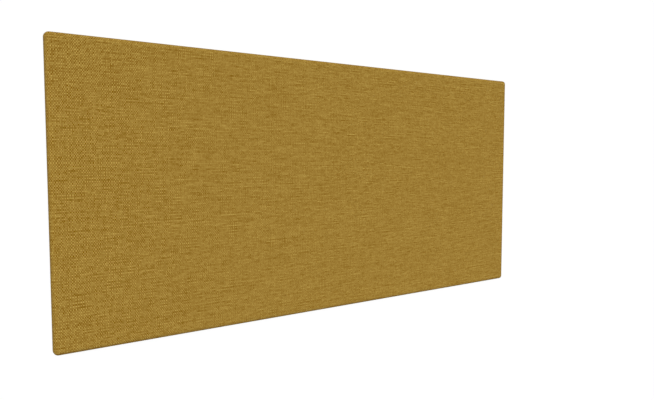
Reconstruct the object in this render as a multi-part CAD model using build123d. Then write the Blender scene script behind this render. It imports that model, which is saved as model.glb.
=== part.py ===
from build123d import *
import os

# A fabric acoustic wall panel, lying on its back as it is stored.
# The origin is the centre of the back. X runs along the length, Y is up when the panel hangs,
# and Z points out of the front. All sizes are in millimetres.

# Panel
panel_length = 1400.0
panel_height = 650.0
panel_thickness = 25.0
edge_radius = 10.0  # one round on every outer edge and corner

# Cloth cover, pulled round the edges and turned in on the back
cloth_thickness = 1.0
hem_flat = 15.0  # the hem's flat width inside the round
mitre_gap = 0.4  # where two hems meet at a corner

# Fleece on the back
fleece_thickness = 0.5
fleece_tuck = 12.0  # how far it runs in under the hem
fleece_clearance = 0.5  # round each hanger plate

# Wooden frame
member_width = 38.0

# Two short wooden blocks in each upper corner of the frame, one above the other
hanger_block_width = 45.0
hanger_block_height = 25.0
hanger_block_gap = 25.0  # room between the two for the head of a wall screw

# Keyhole hanger plates, each let into the two blocks of a corner
plate_height = 50.0
plate_width = 18.0
plate_thickness = 1.5
plate_corner_radius = 3.0
entry_radius = 5.0  # the round hole that a wall screw's head goes in by
entry_drop = 4.0  # below the middle of the plate
slot_radius = 2.5
slot_rise = 6.0  # above the middle of the plate, where the wall screw ends up

# Countersunk screws that hold the plates
screw_spacing = 38.0
screw_length = 14.0
screw_radius = 1.75
screw_head_radius = 3.5
screw_recess_length = 3.6
screw_recess_width = 0.7
screw_recess_depth = 1.0

# Wire staples through the hem
staple_crown = 12.0
staple_leg = 8.0
staple_width = 1.2
staple_wire = 0.6
staple_sink = 0.15  # how far the crown is pressed into the cloth
staple_pitch = 80.0  # the widest gap between two staples in a row
staple_end_margin = 42.0  # from a corner of the panel to the first staple

half_length = panel_length / 2
half_height = panel_height / 2
hem_width = edge_radius + hem_flat
body_back = cloth_thickness + fleece_thickness
body_front = panel_thickness - cloth_thickness
body_half_length = half_length - cloth_thickness
body_half_height = half_height - cloth_thickness
opening_half_length = body_half_length - member_width
opening_half_height = body_half_height - member_width
fleece_half_length = half_length - hem_width + fleece_tuck
fleece_half_height = half_height - hem_width + fleece_tuck

plate_x = opening_half_length - hanger_block_width / 2
plate_y = opening_half_height - hanger_block_height - hanger_block_gap / 2
plate_sides = {"left": -plate_x, "right": plate_x}
plate_front = body_back + plate_thickness


def block(x0, x1, y0, y1, z0, z1):
    """A plain block between two corners."""
    size = (x1 - x0, y1 - y0, z1 - z0)
    return Pos((x0 + x1) / 2, (y0 + y1) / 2, (z0 + z1) / 2) * Box(*size)


def centred(half_x, half_y, z0, z1):
    """A plain block centred on the Z axis."""
    return block(-half_x, half_x, -half_y, half_y, z0, z1)


def rounded(half_x, half_y, z0, z1, radius):
    """A centred block with the same round on all twelve edges."""
    plain = centred(half_x, half_y, z0, z1)
    return fillet(plain.edges(), radius)


def disc(x, y, radius, z0, z1):
    return Pos(x, y, (z0 + z1) / 2) * Cylinder(radius, z1 - z0)


def plate_blank(x, grow, z0, z1):
    """The outline of one hanger plate, grown by a clearance all round."""
    width, height = plate_width + 2 * grow, plate_height + 2 * grow
    outline = RectangleRounded(width, height, plate_corner_radius + grow)
    return extrude(Pos(x, plate_y, z0) * outline, z1 - z0)


def keyhole(x, z0, z1):
    """The entry hole and the slot above it, through the plate."""
    entry_y, slot_end = plate_y - entry_drop, plate_y + slot_rise
    entry = disc(x, entry_y, entry_radius, z0, z1)
    slot = block(x - slot_radius, x + slot_radius, entry_y, slot_end, z0, z1)
    return entry + slot + disc(x, slot_end, slot_radius, z0, z1)


def screw_blank(x, y):
    """A countersunk screw without its drive recess, head flush with the plate."""
    head_height = screw_head_radius - screw_radius
    head = Pos(x, y, body_back + head_height / 2)
    head *= Cone(screw_head_radius, screw_radius, head_height)
    return head + disc(x, y, screw_radius, body_back, body_back + screw_length)


def screw_recess(x, y):
    """The cross recess in a screw's head."""
    long, narrow = screw_recess_length / 2, screw_recess_width / 2
    z1 = body_back + screw_recess_depth
    across = block(x - long, x + long, y - narrow, y + narrow, body_back, z1)
    upright = block(x - narrow, x + narrow, y - long, y + long, body_back, z1)
    return across + upright


def staple(x, y, along_x):
    """One staple: a flat crown on the hem and two legs up into the wood."""
    crown_back = staple_sink
    crown_front = crown_back + staple_wire
    leg_end = crown_back + staple_leg
    half, side = staple_crown / 2, staple_width / 2
    crown = block(-half, half, -side, side, crown_back, crown_front)
    left = block(-half, -half + staple_wire, -side, side, crown_back, leg_end)
    right = block(half - staple_wire, half, -side, side, crown_back, leg_end)
    turn = Rotation(0, 0, 0) if along_x else Rotation(0, 0, 90)
    return Pos(x, y, 0) * turn * (crown + left + right)


def spread(half_span):
    """Evenly spaced places along one edge, no further apart than the staple pitch."""
    reach = half_span - staple_end_margin
    gaps = max(1, -int(-2 * reach // staple_pitch))
    return [-reach + 2 * reach * i / gaps for i in range(gaps + 1)]


def all_staples():
    line = edge_radius + hem_flat / 2
    across, up = half_length - line, half_height - line
    rows = [staple(x, side * up, True) for x in spread(half_length) for side in (-1, 1)]
    ends = [staple(side * across, y, False) for y in spread(half_height) for side in (-1, 1)]
    return rows + ends


def mitre_slits():
    """The diagonal line at each corner of the back, where two hems meet."""
    slits = []
    diagonal = hem_flat * 2**0.5 + 2 * mitre_gap
    for side_x in (-1, 1):
        for side_y in (-1, 1):
            middle_x = side_x * (half_length - edge_radius - hem_flat / 2)
            middle_y = side_y * (half_height - edge_radius - hem_flat / 2)
            slit = Box(diagonal, mitre_gap, 2 * cloth_thickness)
            slits.append(Pos(middle_x, middle_y, 0) * Rotation(0, 0, 45 * side_x * side_y) * slit)
    return slits


def make_body():
    """The rounded block that the frame and the core fill together."""
    return rounded(
        body_half_length,
        body_half_height,
        body_back,
        body_front,
        edge_radius - cloth_thickness,
    )


def fleece_blank():
    """The whole sheet of fleece, before it is cut out round the plates."""
    return centred(fleece_half_length, fleece_half_height, cloth_thickness, body_back)


def make_fleece():
    fleece = fleece_blank()
    for x in plate_sides.values():
        fleece -= plate_blank(x, fleece_clearance, cloth_thickness, body_back)
    return fleece


def make_cover(body):
    """Everything between the outer surface and what the cloth wraps, open inside the hem."""
    cover = rounded(half_length, half_height, 0, panel_thickness, edge_radius)
    cover -= body
    cover -= fleece_blank()
    cover -= centred(half_length - hem_width, half_height - hem_width, 0, body_back)
    return cover - mitre_slits()


def make_frame(body):
    """Two full-height uprights with two rails between them."""
    inner_x, inner_y = opening_half_length, opening_half_height
    outer_x, outer_y = half_length, half_height
    members = {
        "frame_stile_left": (-outer_x, -inner_x, -outer_y, outer_y),
        "frame_stile_right": (inner_x, outer_x, -outer_y, outer_y),
        "frame_rail_top": (-inner_x, inner_x, inner_y, outer_y),
        "frame_rail_bottom": (-inner_x, inner_x, -outer_y, -inner_y),
    }
    return {name: body & block(*room, 0, panel_thickness) for name, room in members.items()}


def hanger_room(x, half_height):
    """A stretch of a corner, as wide as a block and as deep as the frame."""
    half_width = hanger_block_width / 2
    sides = (x - half_width, x + half_width, plate_y - half_height, plate_y + half_height)
    return block(*sides, body_back, body_front)


def plate_screws():
    """The blanks of all the screws, and the recess that is then cut in each."""
    blanks, recesses = [], []
    for x in plate_sides.values():
        for side in (-1, 1):
            y = plate_y + side * screw_spacing / 2
            blanks.append(screw_blank(x, y))
            recesses.append(screw_recess(x, y))
    return blanks, recesses


def main():
    body = make_body()
    staples = all_staples()
    screws, recesses = plate_screws()

    nodes = make_frame(body)
    core = centred(opening_half_length, opening_half_height, body_back, body_front)
    half_gap = hanger_block_gap / 2
    for side, x in plate_sides.items():
        corner = hanger_room(x, half_gap + hanger_block_height)
        seat = plate_blank(x, 0, body_back, plate_front)
        nodes[f"hanger_blocks_{side}"] = corner - [hanger_room(x, half_gap), seat, *screws]
        nodes[f"hanger_plate_{side}"] = seat - [keyhole(x, body_back, plate_front), *screws]
        core -= corner
    nodes["absorber_core"] = core
    nodes["backing_fleece"] = make_fleece()
    nodes["fabric_cover"] = make_cover(body)
    for name in nodes:
        if name.startswith(("frame", "backing", "fabric")):
            nodes[name] -= staples
    nodes["plate_screws"] = Compound([blank - hole for blank, hole in zip(screws, recesses)])
    nodes["staples"] = Compound(staples)

    os.makedirs("parts", exist_ok=True)
    for name, shape in nodes.items():
        export_step(shape, f"parts/{name}.step")


main()
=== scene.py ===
import math
import random
from collections import namedtuple

import bmesh
import bpy
import numpy as np
from mathutils import Matrix, Vector


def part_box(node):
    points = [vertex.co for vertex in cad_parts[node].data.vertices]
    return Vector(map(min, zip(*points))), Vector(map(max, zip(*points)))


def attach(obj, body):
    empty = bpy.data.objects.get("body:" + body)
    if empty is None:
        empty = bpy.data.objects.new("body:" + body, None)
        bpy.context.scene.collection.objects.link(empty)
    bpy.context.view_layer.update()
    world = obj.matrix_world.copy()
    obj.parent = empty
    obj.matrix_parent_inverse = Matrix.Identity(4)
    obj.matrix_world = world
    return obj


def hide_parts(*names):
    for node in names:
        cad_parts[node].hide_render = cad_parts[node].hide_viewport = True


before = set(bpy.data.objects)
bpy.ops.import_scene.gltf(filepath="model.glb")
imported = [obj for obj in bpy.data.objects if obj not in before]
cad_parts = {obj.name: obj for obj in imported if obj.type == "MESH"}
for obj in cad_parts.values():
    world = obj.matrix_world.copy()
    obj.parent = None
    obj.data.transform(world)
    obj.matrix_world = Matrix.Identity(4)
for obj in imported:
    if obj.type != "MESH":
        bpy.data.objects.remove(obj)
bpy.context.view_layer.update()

# A fabric acoustic wall panel, lying on its back on a pale floor.
# Lengths are in metres. X runs along the panel, Y across it, and Z points out of its front.
# The cloth, the fleece and the wool are made here and stand for their CAD solids. The wood, the
# plates, the screws and the staples are the CAD's own solids, with better materials.

MM = 0.001
EDGE_RADIUS = 10 * MM
HEM_FLAT = 15 * MM  # the hem's flat width inside the round
CLOTH_INNER = 0.95 * MM  # how deep the cloth's inner surface lies, kept off what it wraps
PLATE_CORNER = 3 * MM
PLATE_CLEARANCE = 0.5 * MM  # from the fleece to each hanger plate

HALF_X, HALF_Y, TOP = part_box("fabric_cover")[1]
CORE_X, CORE_Y = HALF_X - EDGE_RADIUS, HALF_Y - EDGE_RADIUS  # half the flat front
OPENING_X, OPENING_Y = CORE_X - HEM_FLAT, CORE_Y - HEM_FLAT  # half the opening inside the hem
ROUND_LENGTH = EDGE_RADIUS * math.pi / 2
SIDE_LENGTH = TOP - 2 * EDGE_RADIUS
WRAP_LENGTH = 2 * ROUND_LENGTH + SIDE_LENGTH  # from the flat front to the flat hem
FLAT_X = CORE_X + WRAP_LENGTH + HEM_FLAT  # half the cloth, as it was cut
FLAT_Y = CORE_Y + WRAP_LENGTH + HEM_FLAT


# Numbers and meshes

SAME_POINT = 0.002 * MM  # points nearer to each other than this become one


def ramp(value, start, length):
    """0 up to start, then softly up to 1 over length."""
    share = np.clip((value - start) / length, 0, 1)
    return share * share * (3 - 2 * share)


def past_box(x, y, box_low, box_high):
    """How far outside a box each place is, seen from above."""
    past_x = np.maximum(np.maximum(box_low[0] - x, x - box_high[0]), 0)
    past_y = np.maximum(np.maximum(box_low[1] - y, y - box_high[1]), 0)
    return np.hypot(past_x, past_y)


def grid(xs, ys):
    """All places of a grid, column by column."""
    return [part.ravel() for part in np.meshgrid(xs, ys, indexing="ij")]


class Waves:
    """A smooth, seeded, uneven surface from -1 to 1, as a sum of waves of mixed lengths."""

    COUNT = 14
    GAIN = 1.6  # brings the sum to about -1 to 1

    def __init__(self, seed, longest, shortest):
        draw = random.Random(seed)
        self.terms = []
        for _ in range(self.COUNT):
            length = longest * (shortest / longest) ** draw.random()
            turn = draw.random() * 2 * math.pi
            pitch = 2 * math.pi / length
            weight = math.sqrt(length / longest)
            phase = draw.random() * 2 * math.pi
            self.terms.append((pitch * math.cos(turn), pitch * math.sin(turn), phase, weight))
        self.scale = self.GAIN / math.sqrt(sum(term[3] ** 2 for term in self.terms) * 2)

    def __call__(self, x, y):
        total = 0
        for along_x, along_y, phase, weight in self.terms:
            total = total + weight * np.sin(along_x * x + along_y * y + phase)
        return np.clip(total * self.scale, -1, 1)


def new_object(name, vertices, faces, layers=None):
    """A mesh object. Each layer in layers gives one UV place per vertex."""
    mesh = bpy.data.meshes.new(name)
    mesh.from_pydata([tuple(vertex) for vertex in vertices], [], faces)
    corners = np.zeros(len(mesh.loops), np.int32)
    mesh.loops.foreach_get("vertex_index", corners)
    for layer_name, places in (layers or {}).items():
        layer = mesh.uv_layers.new(name=layer_name)
        layer.data.foreach_set("uv", np.asarray(places)[corners].astype(np.float32).ravel())
    piece = bpy.data.objects.new(name, mesh)
    bpy.context.scene.collection.objects.link(piece)
    return piece


def shade_smooth(piece):
    piece.data.polygons.foreach_set("use_smooth", [True] * len(piece.data.polygons))


def clean(piece, sharp_degrees):
    """Drops loose points, merges doubled ones, turns all faces outward and shades them smooth."""
    work = bmesh.new()
    work.from_mesh(piece.data)
    loose = [vertex for vertex in work.verts if not vertex.link_faces]
    bmesh.ops.delete(work, geom=loose, context="VERTS")
    bmesh.ops.remove_doubles(work, verts=work.verts, dist=SAME_POINT)
    bmesh.ops.dissolve_degenerate(work, edges=work.edges, dist=SAME_POINT)
    bmesh.ops.recalc_face_normals(work, faces=work.faces)
    work.to_mesh(piece.data)
    work.free()
    shade_smooth(piece)
    piece.data.set_sharp_from_angle(angle=math.radians(sharp_degrees))


def islands(node):
    """The box round each separate solid of a CAD node, as lowest and highest corners."""
    work = bmesh.new()
    work.from_mesh(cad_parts[node].data)
    bmesh.ops.remove_doubles(work, verts=work.verts, dist=SAME_POINT)
    boxes, seen = [], set()
    for start in work.verts:
        if start in seen:
            continue
        group, queue = [], [start]
        seen.add(start)
        while queue:
            vertex = queue.pop()
            group.append(vertex.co)
            for edge in vertex.link_edges:
                other = edge.other_vert(vertex)
                if other not in seen:
                    seen.add(other)
                    queue.append(other)
        points = np.array(group)
        boxes.append((points.min(0), points.max(0)))
    work.free()
    return boxes


# The cloth cover, in rings round the core rectangle, which is the flat part of its front.
# A station is a place on that rectangle and a direction outward, and each ring has a point
# for every station. On the back there are four times as many stations, for the staples.

FINE_STEP, FINE_COUNT = 2 * MM, 12  # the stations of a side near its ends
COARSE_STEP = 12 * MM  # and between them
CORNER_STEPS = 12
STAPLE_MARGIN = 0.25 * MM  # from the end of a staple to the nearest station
ROUND_STEPS, INNER_ROUND_STEPS = 8, 5
HEM_INSETS = (0.8, 2, 3.5, 5, 6, 6.75, 7.5, 8.25, 9, 10, 11.5, 13, 14.2, 15)  # millimetres
INNER_INSETS = ((4, 15), (2, 13), (1, 9), (1, 5), (1, 0.05))  # each after its ring's times
CLOTH_SHARP_DEGREES = 55

FRONT_WAVES = Waves(3, longest=0.42, shortest=0.09)
HEM_WAVES = Waves(5, longest=0.16, shortest=0.018)
HEM_FINE_WAVES = Waves(6, longest=0.03, shortest=0.006)

# how far the stretched front gives, more or less from place to place, away from its border
FRONT_SINK, FRONT_UNEVEN, FRONT_EASE = 0.12 * MM, 0.11 * MM, 60 * MM

# pleats round a corner of the back, each with its place in degrees and its depth in millimetres
PLEATS = ((9, 0.30), (21, 0.42), (33, 0.36), (45, 0.50), (57, 0.40), (69, 0.44), (81, 0.28))
PLEAT_START = ROUND_LENGTH + SIDE_LENGTH * 0.3  # how far along the cloth they begin
PLEAT_EASE = 0.625  # the share of their length over which they reach their depth
PLEAT_WIDTH, PLEAT_SPREAD = 0.8, 2.6  # degrees: at the hem, and how much wider they begin

HEM_REACH = 0.6 * MM  # rings nearer to the core rectangle than this belong to the hem
EDGE_DRIFT, EDGE_FINE_DRIFT = 0.42 * MM, 0.16 * MM  # how uneven the raw edge is
EDGE_DRIFT_START = 6 * MM  # how far into the hem it begins to show
MITRE_DEPTH, MITRE_WIDTH = 0.6 * MM, 0.55 * MM  # the groove where two hems meet
MITRE_EASE, MITRE_QUIET = 2.5 * MM, 4 * MM  # how it begins, and where the edge stays even
STAPLE_PRESS, STAPLE_DIMPLE = 0.76 * MM, 3.6 * MM  # how deep and how wide a staple presses
STAPLE_ROOM = 0.2 * MM  # round its crown
HEM_SWELL, HEM_SWELL_EASE = 0.06 * MM, 3 * MM

# the share of the flat layout that each of the cloth's two surfaces takes
LAYOUT_MARGIN = 1.0 * MM
OUTER_SHARE, INNER_SHARE, INNER_START = 0.945, 0.046, 0.952

# a ring has so many stations for each base one, reaches so far out from the core rectangle,
# and its run is the way along the cloth from the flat front
Ring = namedtuple("Ring", "times reach height run inner")


def marks(half):
    """Places along one side, closer together near its ends."""
    fine = np.arange(FINE_COUNT) * FINE_STEP
    inner = half - FINE_COUNT * FINE_STEP
    count = round(2 * inner / COARSE_STEP)
    middle = np.linspace(-inner, inner, count + 1)
    return np.concatenate([fine - half, middle, half - fine[::-1]])


def base_stations():
    """Once round the panel: places on the core rectangle and the outward angle there."""
    along_x, along_y = marks(CORE_X), marks(CORE_Y)
    rows = []
    for side in range(4):
        angle = side * math.pi / 2
        sign = 1 if side < 2 else -1
        if side % 2 == 0:
            rows += [(sign * CORE_X, sign * place, angle) for place in along_y]
        else:
            rows += [(-sign * place, sign * CORE_Y, angle) for place in along_x]
        corner_x, corner_y = rows[-1][:2]
        for step in range(1, CORNER_STEPS):
            rows.append((corner_x, corner_y, angle + step / CORNER_STEPS * math.pi / 2))
    return np.array(rows)


def refine(stations, times):
    """The same stations with more between them."""
    count = len(stations)
    closed = np.vstack([stations, stations[0] + [0, 0, 2 * math.pi]])
    wanted = np.arange(count * times) / times
    return np.stack([np.interp(wanted, np.arange(count + 1), column) for column in closed.T], 1)


def snap_to_staples(stations):
    """Moves the stations nearest to the ends of each staple's crown to just beyond them."""
    stations = stations.copy()
    for staple_low, staple_high in STAPLES:
        middle, size = (staple_low + staple_high) / 2, staple_high - staple_low
        run, across = (0, 1) if size[0] > size[1] else (1, 0)
        limit = (CORE_Y, CORE_X)[run]
        beside = np.abs(stations[:, across] - math.copysign(limit, middle[across])) < MM
        reach = size[run] / 2 + STAPLE_MARGIN
        # the hem's rings shrink towards the middle, so the stations lie a little further out
        shrink = 1 + (abs(middle[across]) - limit) / (CORE_X, CORE_Y)[run]
        for side in (-1, 1):
            target = (middle[run] + side * reach) / shrink
            gaps = np.where(beside, np.abs(stations[:, run] - target), 1)
            stations[np.argmin(gaps), run] = target
    return stations


STAPLES = islands("staples")
BASE = base_stations()
STATIONS = {1: BASE, 2: refine(BASE, 2), 4: snap_to_staples(refine(BASE, 4))}


def front_sink(x, y):
    """How far the front lies below its highest level, where the stretched cloth gives a little."""
    inward = np.minimum(CORE_X - np.abs(x), CORE_Y - np.abs(y))
    return (FRONT_SINK + FRONT_UNEVEN * FRONT_WAVES(x, y)) * ramp(inward, 0, FRONT_EASE)


def ring_points(ring):
    x, y, angle = STATIONS[ring.times].T
    if ring.reach >= 0:
        x, y = x + np.cos(angle) * ring.reach, y + np.sin(angle) * ring.reach
    else:
        x, y = x * (CORE_X + ring.reach) / CORE_X, y * (CORE_Y + ring.reach) / CORE_Y
    return np.stack([x, y, np.full(len(x), ring.height)], 1)


def ring_flat(ring):
    """Where one ring lies on the flat cloth."""
    x, y, angle = STATIONS[ring.times].T
    if ring.reach < 0:
        sideways = np.abs(np.sin(angle)) > 0.5
        x = np.where(sideways, x * (CORE_X + ring.reach) / CORE_X, x)
        y = np.where(sideways, y, y * (CORE_Y + ring.reach) / CORE_Y)
    return np.stack([x + np.cos(angle) * ring.run, y + np.sin(angle) * ring.run], 1)


def gathered(ring, points, angle, normal):
    """A ring's points with the pleats in them, where the cloth goes round a corner of the back."""
    bend = (ring.run - PLEAT_START) / (WRAP_LENGTH - PLEAT_START)
    if bend <= 0:
        return points
    degrees = np.degrees(angle) % 90
    on_corner = (degrees > 0.01) & (degrees < 89.99)
    width = PLEAT_WIDTH + PLEAT_SPREAD * (1 - bend)
    depth = np.zeros(len(angle))
    for place, deep in PLEATS:
        past = (degrees - place) * ring.reach / EDGE_RADIUS / width
        depth += deep * MM * np.exp(-(past**2))
    depth *= on_corner * ramp(bend, 0, PLEAT_EASE)
    rise = np.clip((EDGE_RADIUS - ring.height) / EDGE_RADIUS, 0, 1)
    inward = -normal * math.sqrt(1 - rise * rise)
    inward[:, 2] = rise
    return points + inward * depth[:, None]


def pressed_hem(ring, points, normal):
    """A ring's points with the hem's uneven raw edge, its mitre grooves and the staples' dimples.

    The hem lies on z = 0, and a dimple or a groove in it rises from there.
    """
    x, y = points[:, 0], points[:, 1]
    off_mitre = np.abs((HALF_X - np.abs(x)) - (HALF_Y - np.abs(y))) / math.sqrt(2)
    drift = EDGE_DRIFT * HEM_WAVES(x, y) + EDGE_FINE_DRIFT * HEM_FINE_WAVES(x, y)
    drift *= ramp(-ring.reach, EDGE_DRIFT_START, HEM_FLAT - EDGE_DRIFT_START)
    drift *= ramp(off_mitre, 0, MITRE_QUIET)
    x, y = x - normal[:, 0] * drift, y - normal[:, 1] * drift

    groove = np.exp(-((off_mitre / MITRE_WIDTH) ** 2))
    level = MITRE_DEPTH * groove * ramp(-ring.reach, -HEM_REACH, MITRE_EASE)
    for staple_low, staple_high in STAPLES:
        past = past_box(x, y, staple_low - STAPLE_ROOM, staple_high + STAPLE_ROOM)
        level = np.maximum(level, STAPLE_PRESS * (1 - ramp(past, 0, STAPLE_DIMPLE)))
    swell = HEM_SWELL * (1 + HEM_FINE_WAVES(x, y)) * ramp(-ring.reach, 0, HEM_SWELL_EASE)
    return np.stack([x, y, np.maximum(points[:, 2], np.maximum(level, swell))], 1)


def relief(ring, points):
    """A ring's points with what the plain profile leaves out."""
    angle = STATIONS[ring.times][:, 2]
    normal = np.stack([np.cos(angle), np.sin(angle), np.zeros(len(angle))], 1)
    if ring.reach > HEM_REACH:
        return gathered(ring, points, angle, normal)
    return pressed_hem(ring, points, normal) if ring.height < TOP / 2 else points


def quarter(radius, start, stop, steps, times, inner):
    """The rings of a quarter round. 90 degrees is the front, 0 the side and -90 the back."""
    front = start + stop > 0
    centre = TOP - EDGE_RADIUS if front else EDGE_RADIUS
    rings = []
    for step in range(steps + 1):
        turn = math.radians(start + (stop - start) * step / steps)
        run = ROUND_LENGTH * (1 - math.degrees(turn) / 90) + (0 if front else SIDE_LENGTH)
        height = centre + radius * math.sin(turn)
        rings.append(Ring(times, radius * math.cos(turn), height, run, inner))
    return rings


def profile():
    """The rings from the flat front outward, round to the raw edge and back inside."""
    rings = quarter(EDGE_RADIUS, 90, 0, ROUND_STEPS, 1, False)
    for part in (1 / 3, 2 / 3):
        down = SIDE_LENGTH * part
        rings.append(Ring(2, EDGE_RADIUS, TOP - EDGE_RADIUS - down, ROUND_LENGTH + down, False))
    rings += quarter(EDGE_RADIUS, 0, -90, ROUND_STEPS, 4, False)
    for inset in HEM_INSETS:
        rings.append(Ring(4, -inset * MM, 0.0, WRAP_LENGTH + inset * MM, False))
    for part in (0.5, 1):
        depth = CLOTH_INNER * part
        rings.append(Ring(4, -HEM_FLAT, depth, WRAP_LENGTH + HEM_FLAT + depth, False))

    for times, inset in INNER_INSETS:
        rings.append(Ring(times, -inset * MM, CLOTH_INNER, WRAP_LENGTH + inset * MM, True))
    inner_radius = EDGE_RADIUS - CLOTH_INNER
    rings += quarter(inner_radius, -90, 0, INNER_ROUND_STEPS, 1, True)
    rings += quarter(inner_radius, 0, 90, INNER_ROUND_STEPS, 1, True)
    return rings


def stitch(first, first_times, second, second_times):
    """The faces between two rings, one of which may have twice as many stations."""
    if first_times > second_times:
        return [face[::-1] for face in stitch(second, second_times, first, first_times)]
    total = len(BASE) * first_times
    faces = []
    for i in range(total):
        j = (i + 1) % total
        if first_times == second_times:
            faces.append((first + i, second + i, second + j, first + j))
            continue
        middle = second + 2 * i + 1
        faces.append((first + i, second + 2 * i, middle))
        faces.append((first + i, middle, first + j))
        faces.append((first + j, middle, second + 2 * j))
    return faces


def grid_faces(first, columns, rows, flip):
    faces = []
    for i in range(columns - 1):
        for j in range(rows - 1):
            a = first + i * rows + j
            face = (a, a + rows, a + rows + 1, a + 1)
            faces.append(face[::-1] if flip else face)
    return faces


def bake_place(flat, inner):
    """The cloth's flat layout inside the unit square, with its inner surface in a thin strip."""
    across = (flat[:, 0] / (FLAT_X + LAYOUT_MARGIN) + 1) / 2
    along = (flat[:, 1] / (FLAT_Y + LAYOUT_MARGIN) + 1) / 2
    along = INNER_START + INNER_SHARE * along if inner else OUTER_SHARE * along
    return np.stack([across, along], 1)


def make_cover():
    vertices, flat_places, bake_places, faces = [], [], [], []

    def add(points, flat, inner):
        """Adds points and returns the number of the first one."""
        first = sum(len(part) for part in vertices)
        vertices.append(points)
        flat_places.append(flat)
        bake_places.append(bake_place(flat, inner))
        return first

    columns, rows = marks(CORE_X), marks(CORE_Y)
    x, y = grid(columns, rows)
    for inner, level in ((False, TOP), (True, TOP - CLOTH_INNER)):
        points = np.stack([x, y, level - front_sink(x, y)], 1)
        first = add(points, np.stack([x, y], 1), inner)
        faces += grid_faces(first, len(columns), len(rows), inner)

    last, last_first = None, 0
    for ring in profile():
        points = ring_points(ring)
        if not ring.inner or ring.reach <= -HEM_FLAT:
            points = relief(ring, points)
        first = add(points, ring_flat(ring), ring.inner)
        if last and last.inner == ring.inner:
            faces += stitch(last_first, last.times, first, ring.times)
        last, last_first = ring, first

    layers = {"cloth_flat": np.vstack(flat_places), "OFBake": np.vstack(bake_places)}
    cover = new_object("cloth_cover", np.vstack(vertices), faces, layers)
    clean(cover, CLOTH_SHARP_DEGREES)
    return cover


# Short loose ends of yarn along the raw edge of the hem

THREAD_SIDES, THREAD_BITS = 4, 3
THREAD_PITCH = 2.6 * MM
THREAD_MARGIN = 2 * MM  # from a corner to the first thread
THREAD_ROOT = 0.4 * MM  # how far inside the hem it begins
THREAD_HIGHEST = 0.84 * MM
THREAD_NARROWING = 0.45


def make_threads():
    draw = random.Random(11)
    vertices, faces, places = [], [], []

    def thread(x, y, heading, length):
        radius = draw.uniform(0.09, 0.15) * MM
        place = Vector((x, y, draw.uniform(0.72, 0.84) * MM))
        bend = draw.uniform(-0.75, 0.75)
        first = len(vertices)
        for bit in range(THREAD_BITS + 1):
            along = Vector((math.cos(heading), math.sin(heading), 0))
            across = Vector((-along.y, along.x, 0))
            narrow = radius * (1 - THREAD_NARROWING * bit / THREAD_BITS)
            for side in range(THREAD_SIDES):
                turn = (side + 0.5) / THREAD_SIDES * 2 * math.pi
                offset = across * math.cos(turn) + Vector((0, 0, 1)) * math.sin(turn)
                vertices.append(place + offset * narrow)
                places.append((place.x, place.y))
            place = place + along * (length / THREAD_BITS)
            place.z = min(place.z + draw.uniform(-0.0225, 0.0275) * MM, THREAD_HIGHEST)
            heading += bend / THREAD_BITS
        end = first + THREAD_BITS * THREAD_SIDES
        for a in range(first, end, THREAD_SIDES):
            for side in range(THREAD_SIDES):
                b = (side + 1) % THREAD_SIDES
                faces.append((a + side, a + b, a + b + THREAD_SIDES, a + side + THREAD_SIDES))
        faces.append(tuple(range(first, first + THREAD_SIDES))[::-1])
        faces.append(tuple(range(end, end + THREAD_SIDES)))

    for side in range(4):
        upright = side % 2 == 0
        sign = 1 if side < 2 else -1
        half = OPENING_Y if upright else OPENING_X
        inward = side * math.pi / 2 + math.pi
        for i in range(int(2 * (half - THREAD_MARGIN) / THREAD_PITCH)):
            place = THREAD_MARGIN - half + (i + draw.uniform(0.2, 0.8)) * THREAD_PITCH
            if upright:
                x, y = sign * (OPENING_X + THREAD_ROOT), place
            else:
                x, y = place, sign * (OPENING_Y + THREAD_ROOT)
            drift = EDGE_DRIFT * float(HEM_WAVES(x, y))
            x, y = x + math.cos(inward) * drift, y + math.sin(inward) * drift
            length = (0.9 + 1.9 * draw.random() ** 1.6) * MM + THREAD_ROOT
            thread(x, y, inward + draw.uniform(-0.4, 0.4), length)

    threads = new_object("hem_threads", vertices, faces, {"cloth_flat": places})
    shade_smooth(threads)
    return threads


# The fleece and the wool

SLAB_SHARP_DEGREES = 50
FLEECE_STEP, WOOL_STEP = 7 * MM, 12 * MM
FLEECE_WAVES = Waves(17, longest=0.30, shortest=0.05)
WOOL_WAVES = Waves(23, longest=0.08, shortest=0.02)
FLEECE_SAG, FLEECE_UNEVEN = 0.20 * MM, 0.18 * MM
HELD_BY_HEM, HEM_EASE = 4 * MM, 30 * MM  # how far the hem holds the fleece flat, and beyond
HELD_BY_PLATE, PLATE_EASE = 3 * MM, 20 * MM
WOOL_DENT, WOOL_UNEVEN = 0.30 * MM, 0.20 * MM
WOOL_SHIFT = 0.3  # so that the wool's front has other lumps than its back
WOOL_FRONT_GAP = 0.1 * MM
CUTTER_ROUND_STEPS = 6


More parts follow.
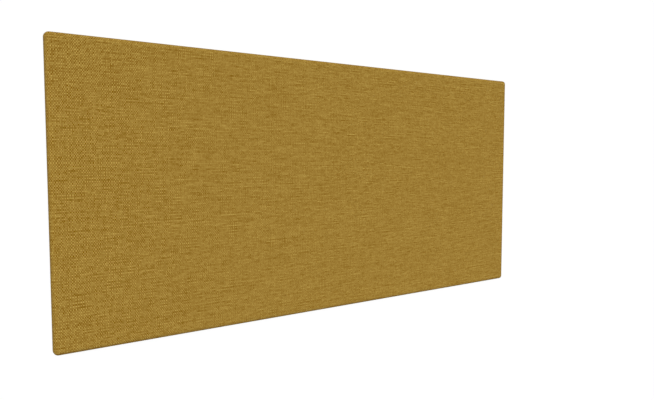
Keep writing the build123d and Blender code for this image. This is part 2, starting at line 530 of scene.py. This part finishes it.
def slab(name, xs, ys, height_low, height_high, keep, lower, upper):
    """A closed slab of square cells. keep says which cells are there, by their middles."""
    columns, rows = len(xs), len(ys)
    x, y = grid(xs, ys)
    back = np.stack([x, y, height_low + lower(x, y)], 1)
    front = np.stack([x, y, height_high + upper(x, y)], 1)
    there = np.zeros((columns + 1, rows + 1), bool)
    for i in range(columns - 1):
        for j in range(rows - 1):
            there[i + 1, j + 1] = keep((xs[i] + xs[i + 1]) / 2, (ys[j] + ys[j + 1]) / 2)
    count = columns * rows
    faces = []
    for i, j in np.argwhere(there) - 1:
        a, b = int(i * rows + j), int((i + 1) * rows + j)
        faces.append((a, a + 1, b + 1, b))
        faces.append((count + a, count + b, count + b + 1, count + a + 1))
        for neighbour, p, q in (
            (there[i, j + 1], a, a + 1),
            (there[i + 2, j + 1], b + 1, b),
            (there[i + 1, j], b, a),
            (there[i + 1, j + 2], a + 1, b + 1),
        ):
            if not neighbour:
                faces.append((p, count + p, count + q, q))
    piece = new_object(name, np.vstack([back, front]), faces)
    clean(piece, SLAB_SHARP_DEGREES)
    return piece


def spaced(start, stop, step, fixed=()):
    """Evenly spaced places, with the fixed ones among them."""
    count = max(2, round((stop - start) / step))
    places = np.linspace(start, stop, count + 1)
    for wanted in fixed:
        places[np.argmin(np.abs(places - wanted))] = wanted
    return places


def rounded_prism(name, middle, half_x, half_y, radius, half_height):
    """A block with rounded corners, upright through the plane z = 0."""
    outline = []
    for corner in range(4):
        sign_x = 1 if corner in (0, 3) else -1
        sign_y = 1 if corner < 2 else -1
        for step in range(CUTTER_ROUND_STEPS + 1):
            turn = (corner + step / CUTTER_ROUND_STEPS) * math.pi / 2
            outline.append((
                middle.x + sign_x * (half_x - radius) + radius * math.cos(turn),
                middle.y + sign_y * (half_y - radius) + radius * math.sin(turn),
            ))
    count = len(outline)
    vertices = [(*place, height) for height in (-half_height, half_height) for place in outline]
    faces = [tuple(range(count))[::-1], tuple(range(count, 2 * count))]
    for i in range(count):
        j = (i + 1) % count
        faces.append((i, j, count + j, count + i))
    return new_object(name, vertices, faces)


def cut_out(piece, cutter):
    """Takes one mesh out of another and drops it."""
    cut = piece.modifiers.new("cut", "BOOLEAN")
    cut.operation, cut.solver, cut.object = "DIFFERENCE", "EXACT", cutter
    bpy.context.view_layer.update()
    evaluated = piece.evaluated_get(bpy.context.evaluated_depsgraph_get())
    mesh = bpy.data.meshes.new_from_object(evaluated)
    piece.modifiers.clear()
    piece.data = mesh
    bpy.data.objects.remove(cutter)


def make_fleece():
    fleece_low, fleece_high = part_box("backing_fleece")
    plates = [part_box(f"hanger_plate_{side}") for side in ("left", "right")]

    def sag(x, y):
        """How far it hangs towards the back, where neither hem nor plate holds it flat."""
        inward = np.minimum(OPENING_X - np.abs(x), OPENING_Y - np.abs(y))
        free = ramp(inward, HELD_BY_HEM, HEM_EASE)
        for plate_low, plate_high in plates:
            past = past_box(x, y, plate_low, plate_high)
            free = free * ramp(past, HELD_BY_PLATE, PLATE_EASE)
        return -(FLEECE_SAG + FLEECE_UNEVEN * FLEECE_WAVES(x, y)) * free

    fleece = slab(
        "fleece_sheet",
        spaced(fleece_low.x, fleece_high.x, FLEECE_STEP),
        spaced(fleece_low.y, fleece_high.y, FLEECE_STEP),
        fleece_low.z,
        fleece_high.z,
        lambda x, y: True,
        sag,
        sag,
    )
    for plate_low, plate_high in plates:
        half = (plate_high - plate_low) / 2
        cutter = rounded_prism(
            "cutter",
            (plate_low + plate_high) / 2,
            half.x + PLATE_CLEARANCE,
            half.y + PLATE_CLEARANCE,
            PLATE_CORNER + PLATE_CLEARANCE,
            half_height=5 * MM,
        )
        cut_out(fleece, cutter)
    clean(fleece, SLAB_SHARP_DEGREES)
    return fleece


def make_wool():
    wool_low, wool_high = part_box("absorber_core")
    blocks = [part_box(f"hanger_blocks_{side}") for side in ("left", "right")]
    cut_x = [corner.x for block in blocks for corner in block]
    cut_y = [blocks[0][0].y]

    def keep(x, y):
        return all(past_box(x, y, *block) > 0 for block in blocks)

    def dent(x, y):
        return WOOL_DENT + WOOL_UNEVEN * WOOL_WAVES(x, y)

    return slab(
        "wool_slab",
        spaced(wool_low.x, wool_high.x, WOOL_STEP, cut_x),
        spaced(wool_low.y, wool_high.y, WOOL_STEP, cut_y),
        wool_low.z,
        wool_high.z,
        keep,
        dent,
        lambda x, y: -dent(x + WOOL_SHIFT, y) - WOOL_FRONT_GAP,
    )


# Materials

class Number:
    """A number in a material's nodes, so that sums in the nodes read as sums."""

    def __init__(self, graph, socket):
        self.graph, self.socket = graph, socket

    def __add__(self, other):
        return self.graph.math("ADD", self, other)

    __radd__ = __add__

    def __sub__(self, other):
        return self.graph.math("SUBTRACT", self, other)

    def __rsub__(self, other):
        return self.graph.math("SUBTRACT", other, self)

    def __mul__(self, other):
        return self.graph.math("MULTIPLY", self, other)

    def __truediv__(self, other):
        return self.graph.math("DIVIDE", self, other)

    def clip(self):
        return self.graph.math("ADD", self, 0.0, clamp=True)

    def sine(self):
        return self.graph.math("SINE", self)

    def floor(self):
        return self.graph.math("FLOOR", self)

    def size(self):
        return self.graph.math("ABSOLUTE", self)

    def power(self, other):
        return self.graph.math("POWER", self, other)


class Graph:
    """The nodes of one material, or of the world."""

    def __init__(self, owner, output="ShaderNodeOutputMaterial"):
        owner.use_nodes = True
        self.owner, self.tree = owner, owner.node_tree
        self.tree.nodes.clear()
        self.surface = self.node(output).inputs["Surface"]

    def node(self, kind, inputs=None, **settings):
        """A new node. inputs are set or linked by their name or number."""
        made = self.tree.nodes.new(kind)
        for key, value in settings.items():
            setattr(made, key, value)
        for key, value in (inputs or {}).items():
            self.put(made.inputs[key], value)
        return made

    def put(self, socket, value):
        """Links or sets one input. A tuple is a colour."""
        if isinstance(value, Number):
            value = value.socket
        if isinstance(value, bpy.types.NodeSocket):
            self.tree.links.new(value, socket)
        else:
            socket.default_value = (*value, 1.0) if isinstance(value, tuple) else value

    def math(self, operation, *values, clamp=False):
        inputs = dict(enumerate(values))
        made = self.node("ShaderNodeMath", inputs, operation=operation, use_clamp=clamp)
        return Number(self, made.outputs[0])

    def vector(self, x, y, z):
        return self.node("ShaderNodeCombineXYZ", {"X": x, "Y": y, "Z": z}).outputs[0]

    def parts(self, vector):
        made = self.node("ShaderNodeSeparateXYZ", {0: vector})
        return [Number(self, socket) for socket in made.outputs]

    def flat(self):
        """Where the point is on the flat cloth, in metres."""
        return self.parts(self.node("ShaderNodeUVMap", uv_map="cloth_flat").outputs[0])[:2]

    def place(self):
        """Where the point is on the object, in metres."""
        return self.parts(self.node("ShaderNodeTexCoord").outputs["Object"])

    def noise(self, x, y, z, detail=2.0, rough=0.5):
        """A smooth number from 0 to 1, with grains one long, one wide and one high."""
        inputs = {"Scale": 1.0, "Detail": detail, "Roughness": rough}
        inputs["Vector"] = self.vector(x, y, z)
        return Number(self, self.node("ShaderNodeTexNoise", inputs).outputs["Fac"])

    def white(self, x, y):
        """A separate random number for each pair of whole numbers."""
        inputs = {"Vector": self.vector(x, y, 0.0)}
        made = self.node("ShaderNodeTexWhiteNoise", inputs, noise_dimensions="3D")
        return Number(self, made.outputs["Value"])

    def cells(self, x, y, z, scale):
        """A separate random number for each cell of an uneven pattern."""
        inputs = {"Vector": self.vector(x, y, z), "Scale": scale}
        return self.parts(self.node("ShaderNodeTexVoronoi", inputs).outputs["Color"])[0]

    def blend(self, share, first, second):
        """Between two colours."""
        inputs = {0: share, 6: first, 7: second}
        return self.node("ShaderNodeMix", inputs, data_type="RGBA").outputs[2]

    def scaled(self, colour, factor):
        """A colour times a number."""
        inputs = {0: colour, "Scale": factor}
        return self.node("ShaderNodeVectorMath", inputs, operation="SCALE").outputs[0]

    def finish(self, colour, roughness, height, distance, strength, **inputs):
        """The surface shader. In the names of its other inputs, _ stands for a space."""
        bump = {"Height": height, "Distance": distance, "Strength": strength}
        shader = {
            "Base Color": colour,
            "Roughness": roughness,
            "Normal": self.node("ShaderNodeBump", bump).outputs[0],
        }
        shader |= {key.replace("_", " "): value for key, value in inputs.items()}
        self.put(self.surface, self.node("ShaderNodeBsdfPrincipled", shader).outputs[0])
        return self.owner

    def background_rays(self):
        """1 for rays that should see a plain white background, 0 for those that carry light."""
        path = self.node("ShaderNodeLightPath").outputs
        seen = self.math("MAXIMUM", path["Is Camera Ray"], path["Is Glossy Ray"])
        return self.math("MAXIMUM", seen, path["Is Transmission Ray"])

    def mixed(self, share, first, second):
        """Between two shaders."""
        return self.node("ShaderNodeMixShader", {0: share, 1: first, 2: second}).outputs[0]


def material_graph(name):
    return Graph(bpy.data.materials.new(name))


# The weave. In the noises of all the materials, what a place is multiplied by is the number of
# grains to the metre in that direction.

LIGHT_YARN = (0.566, 0.388, 0.093)
DARK_YARN = (0.204, 0.091, 0.001)
MEAN_SHADE = 0.547  # the tone between the two before anything below adds to it
CELL_U, CELL_V = 2.47 * MM, 3.27 * MM  # the size of one crossing
LIVELY_UNTIL, CALM_FROM = -0.640625, -0.328125  # the weave shows most towards the left end
YARN_EDGE = 0.16  # how softly the yarn on top gives way to the other
FIBRE_LENGTHS, FIBRE_WIDTHS = 300, 2600  # to the metre
FIBRE_SLANT = 0.3
YARN_STRIDE = 1.7  # how far apart two yarns lie in the noise of their fibres


def cloth_material():
    """A coarse plain weave of light weft and darker warp, with slubs, round yarns and painted
    shade in the gaps between them.
    """
    g = material_graph("cover_cloth")
    u, v = g.flat()  # along the weft and along the warp
    calm = ((u - LIVELY_UNTIL) / (CALM_FROM - LIVELY_UNTIL)).clip()

    def fade(at_left, where_calm):
        """A number that changes from the left end to where the weave is calm."""
        return calm * (where_calm - at_left) + at_left

    def uneven(grains_u, grains_v, seed, detail=1.0):
        """A number from -0.5 to 0.5 that varies from place to place."""
        return g.noise(u * grains_u, v * grains_v, seed, detail) - 0.5

    # the yarns wander a little, and some are thicker than others
    crossings_u = u / CELL_U + uneven(6, 6, 3.1) + uneven(70, 1.2, 6.3) * 1.3
    crossings_v = v / CELL_V + uneven(5, 7, 8.7) * 0.8 + uneven(1.2, 55, 2.2) * 1.5
    column, row = crossings_u.floor(), crossings_v.floor()

    def along_row(grains, stride, seed, step=0, detail=1.0, rough=0.5):
        """A number that varies along each row of weft. The stride keeps the rows unlike."""
        return g.noise(u * grains, (row + step) * stride, seed, detail, rough) - 0.5

    def weft_tone(*where, **grain):
        """A tone along each row of weft, a little unlike the next row's."""
        return along_row(*where, **grain) - along_row(*where, step=1, **grain) * fade(0.40, 0.22)

    weft_slub = weft_tone(48, 3.71, 1.3, detail=2.0, rough=0.6)
    weft_long = weft_tone(15, 4.37, 7.9)
    warp_slub = g.noise(column * 2.93, v * 28, 5.2, detail=1.0) - 0.5
    crossing = g.white(column, row) - 0.5

    # some stretches of the cloth show their crossings more than others
    lively = uneven(16, 20, 12.4, detail=2.0) + along_row(13, 2.39, 3.3)
    contrast = ((lively + 0.4) * 1.5).clip() * 0.95 + 0.25

    # over is 1 in the middle of a crossing where the weft lies on top, and -1 where the warp does
    arch_u, arch_v = (crossings_u * math.pi).sine(), (crossings_v * math.pi).sine()
    over = arch_u * arch_v
    bulge = over.size()
    top = over / (bulge + YARN_EDGE)
    weft_share = (top * 1.5 + 0.5).clip()
    warp_share = 1.0 - weft_share

    def of_top_yarn(of_weft, of_warp):
        return of_weft * weft_share + of_warp * warp_share

    # the yarn on top is round across its run, and dives at both ends of the crossing; towards its
    # edges and ends, and in the gaps between yarns, the colour gets painted shade and the bump
    # dips
    section = of_top_yarn(arch_v.size(), arch_u.size())
    dive = of_top_yarn(arch_u.size(), arch_v.size())
    hollow_and_shade = 1.0 - section.power(0.6) * (dive * 0.5 + 0.5)

    # its fibres run at a slant, from the twist of the yarn
    slant_u, slant_v = u + v * FIBRE_SLANT, v + u * FIBRE_SLANT
    weft_place = (u * FIBRE_LENGTHS, slant_v * FIBRE_WIDTHS, row * YARN_STRIDE)
    warp_place = (slant_u * FIBRE_WIDTHS, v * FIBRE_LENGTHS, column * YARN_STRIDE)
    fibres = [g.noise(*place, detail=2.0, rough=0.65) for place in (weft_place, warp_place)]
    fibre = of_top_yarn(*fibres) - 0.5

    # here and there each second yarn is a little lighter
    patch = uneven(34, 34, 2.6)
    second_weft = arch_v * (patch * 0.34 + 0.045) * fade(1.0, 0.57)
    second_warp = arch_u * (patch * 0.25 + 0.037)

    # what each of these adds to the tone
    shade = MEAN_SHADE + top * contrast * fade(0.32, 0.145)
    shade = shade + weft_slub * fade(0.59, 0.65) + crossing * bulge * fade(0.76, 0.50)
    shade = shade + weft_long * 0.29 + warp_slub * 0.18 + second_weft + second_warp
    # the last term is painted shade: darker where the yarns curve away and in the gaps between
    # them
    shade = shade + fibre * 0.90 - hollow_and_shade * 0.42
    return g.finish(
        g.blend(shade.clip(), DARK_YARN, LIGHT_YARN),
        roughness=0.92,
        height=weft_slub * 0.4 + crossing * 0.2 + fibre * 0.7 - hollow_and_shade * 1.3,
        distance=0.35 * MM,
        strength=0.5,
        Specular_IOR_Level=0.10,
        Specular_Tint=(0.95, 0.72, 0.25),
        Sheen_Weight=0.06,
        Sheen_Roughness=0.6,
        Sheen_Tint=(0.90, 0.62, 0.16),
    )


def fleece_material():
    """A thin black felt of loose fibres pressed together."""
    g = material_graph("fleece")
    x, y, z = g.place()
    fibres_up = g.noise(x * 2400, y * 420, z, detail=3.0, rough=0.6)
    fibres_along = g.noise(x * 380, y * 2300, z, detail=3.0, rough=0.6)
    cloud = g.noise(x * 60, y * 60, z, detail=4.0, rough=0.6)
    felt = (fibres_up * 0.5 + fibres_along * 0.5 - 0.32) * 2.2
    shade = (felt.clip() * 0.7 + cloud * 0.5).clip()
    return g.finish(
        g.blend(shade, (0.009, 0.009, 0.0095), (0.040, 0.040, 0.042)),
        roughness=0.95,
        height=felt,
        distance=0.25 * MM,
        strength=0.7,
        Specular_IOR_Level=0.2,
        Sheen_Weight=0.15,
        Sheen_Roughness=0.5,
    )


def wool_material():
    """Pressed mineral wool, in fine layers."""
    g = material_graph("mineral_wool")
    x, y, z = g.place()
    strands = g.noise(x * 260, y * 900, z * 2400, detail=4.0, rough=0.65)
    clumps = g.noise(x * 45, y * 70, z * 260, detail=3.0, rough=0.6)
    shade = (strands * 0.7 + clumps * 0.6 - 0.15).clip()
    return g.finish(
        g.blend(shade, (0.34, 0.27, 0.09), (0.62, 0.52, 0.20)),
        roughness=0.97,
        height=strands,
        distance=0.9 * MM,
        strength=0.8,
        Specular_IOR_Level=0.1,
    )


def wood_material(name, along_x):
    """Planed pine with its grain along the member."""
    g = material_graph(name)
    x, y, z = g.place()
    run, across = (x, y) if along_x else (y, x)
    wander = g.noise(run * 2.2, across * 9, z * 9) - 0.5
    rings = ((across * 620 + z * 260 + wander * 26).sine() * 0.5 + 0.5).power(2.2)
    pores = g.noise(run * 90, across * 2600, z * 2600, rough=0.6)
    tone = g.noise(run * 3, across * 14, z * 14)
    early_wood = g.blend(tone, (0.56, 0.36, 0.17), (0.66, 0.47, 0.26))
    ringed = g.blend(rings * 0.55, early_wood, (0.38, 0.20, 0.075))
    return g.finish(
        g.scaled(ringed, 0.82 + pores * 0.36),
        roughness=0.62 + pores * 0.2,
        height=rings * 0.3 + pores * 0.7,
        distance=0.2 * MM,
        strength=0.5,
    )


def metal_material(name, light, dark, crystal_grains, rough):
    """Plated steel with fine crystals and handling marks."""
    g = material_graph(name)
    x, y, z = g.place()
    crystals = g.cells(x, y, z, crystal_grains)
    smear = g.noise(x * 300, y * 120, z * 300, detail=3.0, rough=0.6)
    scratch = g.noise(x * 5200, y * 260, z * 900, detail=1.0)
    return g.finish(
        g.blend((crystals * 0.5 + smear * 0.5).clip(), dark, light),
        roughness=rough + smear * 0.18 + crystals * 0.05,
        height=scratch * 0.6 + smear * 0.4,
        distance=0.05 * MM,
        strength=0.4,
        Metallic=1.0,
    )


def give(piece, material):
    piece.data.materials.clear()
    piece.data.materials.append(material)


# The pieces

cloth = cloth_material()
cover = make_cover()
give(cover, cloth)
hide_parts("fabric_cover")

threads = make_threads()
give(threads, cloth)

fleece = make_fleece()
give(fleece, fleece_material())
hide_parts("backing_fleece")

wool = make_wool()
give(wool, wool_material())
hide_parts("absorber_core")

for piece, slot in (
    (cover, "cover_cloth"),
    (threads, "cover_cloth"),
    (fleece, "fleece"),
    (wool, "mineral_wool"),
):
    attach(piece, "root")

wood_along = wood_material("pine_along", True)
wood_up = wood_material("pine_up", False)
zinc = metal_material("zinc_plate", (0.40, 0.42, 0.44), (0.24, 0.26, 0.28), 420, 0.32)
yellow_zinc = metal_material("screw_plate", (0.52, 0.40, 0.15), (0.30, 0.22, 0.10), 900, 0.30)
wire = metal_material("staple_wire", (0.44, 0.44, 0.45), (0.28, 0.28, 0.30), 700, 0.30)
for node, material in (
    ("frame_rail_top", wood_along),
    ("frame_rail_bottom", wood_along),
    ("hanger_blocks_left", wood_along),
    ("hanger_blocks_right", wood_along),
    ("frame_stile_left", wood_up),
    ("frame_stile_right", wood_up),
    ("hanger_plate_left", zinc),
    ("hanger_plate_right", zinc),
    ("plate_screws", yellow_zinc),
    ("staples", wire),
):
    for material_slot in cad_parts[node].material_slots:
        material_slot.material = material


# Floor, light and camera

WHITE = (1.0, 1.0, 1.0)
FLOOR_SIZE = 14.0
FLOOR_GAP = 0.4 * MM
FLOOR_COLOUR = (0.45, 0.45, 0.45)  # for the light that it throws back on the panel
FLOOR_OWN_LIGHT = 0.965  # the part of its white that shadows don't reach, as the camera sees it
FLOOR_SHADED = (0.045, 0.045, 0.045)  # and the part that they do reach
WORLD_LIGHT = 0.18  # from all round
LAMP_WIDTH = 50  # degrees
LAMP_LIGHT = 0.80  # what the lamp adds on a level surface
LAMP_DIRECTION = Vector((-0.33, 0.44, 1.0)).normalized()
BELOW_LIGHT = 0.60  # the same of the lamp under the floor, which lights the back
BELOW_DIRECTION = Vector((0.30, 0.30, -1.0)).normalized()
LAMP_DISTANCE = 3.0
CAMERA_PLACE = Vector((-0.9736, 0.0781, 1.3414))
CAMERA_AIM = Vector((-0.0220, -0.0340, 0.0250))
CAMERA_UP = Vector((0, 1, 0))
CAMERA_LENS, CAMERA_SENSOR = 34.173, 36  # millimetres


def floor_material():
    g = material_graph("floor")
    diffuse, shown = (
        g.node("ShaderNodeBsdfDiffuse", {"Color": colour}).outputs[0]
        for colour in (FLOOR_COLOUR, FLOOR_SHADED)
    )
    glow = g.node("ShaderNodeEmission", {"Strength": FLOOR_OWN_LIGHT}).outputs[0]
    both = g.node("ShaderNodeAddShader", {0: shown, 1: glow}).outputs[0]
    top = g.mixed(g.background_rays(), diffuse, both)
    # from below, the floor isn't there, and the lamp under it shines through
    clear = g.node("ShaderNodeBsdfTransparent").outputs[0]
    behind = g.node("ShaderNodeNewGeometry").outputs["Backfacing"]
    shadow = g.node("ShaderNodeLightPath").outputs["Is Shadow Ray"]
    g.put(g.surface, g.mixed(g.math("MAXIMUM", behind, shadow), top, clear))
    return g.owner


def make_floor():
    half = FLOOR_SIZE / 2
    corners = ((-half, -half), (half, -half), (half, half), (-half, half))
    floor = new_object("floor", [(x, y, -FLOOR_GAP) for x, y in corners], [(0, 1, 2, 3)])
    give(floor, floor_material())
    return floor


def make_world():
    g = Graph(bpy.data.worlds.new("studio"), "ShaderNodeOutputWorld")
    room, seen = (
        g.node("ShaderNodeBackground", {"Color": WHITE, "Strength": strength}).outputs[0]
        for strength in (WORLD_LIGHT, 1.0)
    )
    g.put(g.surface, g.mixed(g.background_rays(), room, seen))
    return g.owner


def add_lamp(name, direction, light):
    """A wide soft lamp far off in one direction. light is what it adds on a level surface."""
    lamp_data = bpy.data.lights.new(name, "SUN")
    lamp_data.angle = math.radians(LAMP_WIDTH)
    lamp_data.energy = light * math.pi / abs(direction.z)
    lamp = bpy.data.objects.new(name, lamp_data)
    lamp.location = direction * LAMP_DISTANCE
    lamp.rotation_mode = "QUATERNION"
    lamp.rotation_quaternion = (-direction).to_track_quat("-Z", "Y")
    bpy.context.scene.collection.objects.link(lamp)


def make_camera():
    camera_data = bpy.data.cameras.new("camera")
    camera_data.sensor_fit = "HORIZONTAL"
    camera_data.sensor_width = CAMERA_SENSOR
    camera_data.lens = CAMERA_LENS
    camera_data.clip_start, camera_data.clip_end = 0.01, 100
    camera = bpy.data.objects.new("camera", camera_data)
    forward = (CAMERA_AIM - CAMERA_PLACE).normalized()
    right = forward.cross(CAMERA_UP).normalized()
    turned = Matrix((right, right.cross(forward), -forward)).transposed()
    camera.matrix_world = Matrix.Translation(CAMERA_PLACE) @ turned.to_4x4()
    bpy.context.scene.collection.objects.link(camera)
    return camera


floor = make_floor()
add_lamp("softbox", LAMP_DIRECTION, LAMP_LIGHT)
add_lamp("softbox_below", BELOW_DIRECTION, BELOW_LIGHT)
bpy.context.scene.world = make_world()
bpy.context.scene.camera = make_camera()
bpy.context.scene.view_settings.view_transform = "Standard"
# the weave is as fine as a pixel, so the colours that guide the denoiser aren't smoothed first
bpy.context.scene.cycles.denoising_prefilter = "NONE"
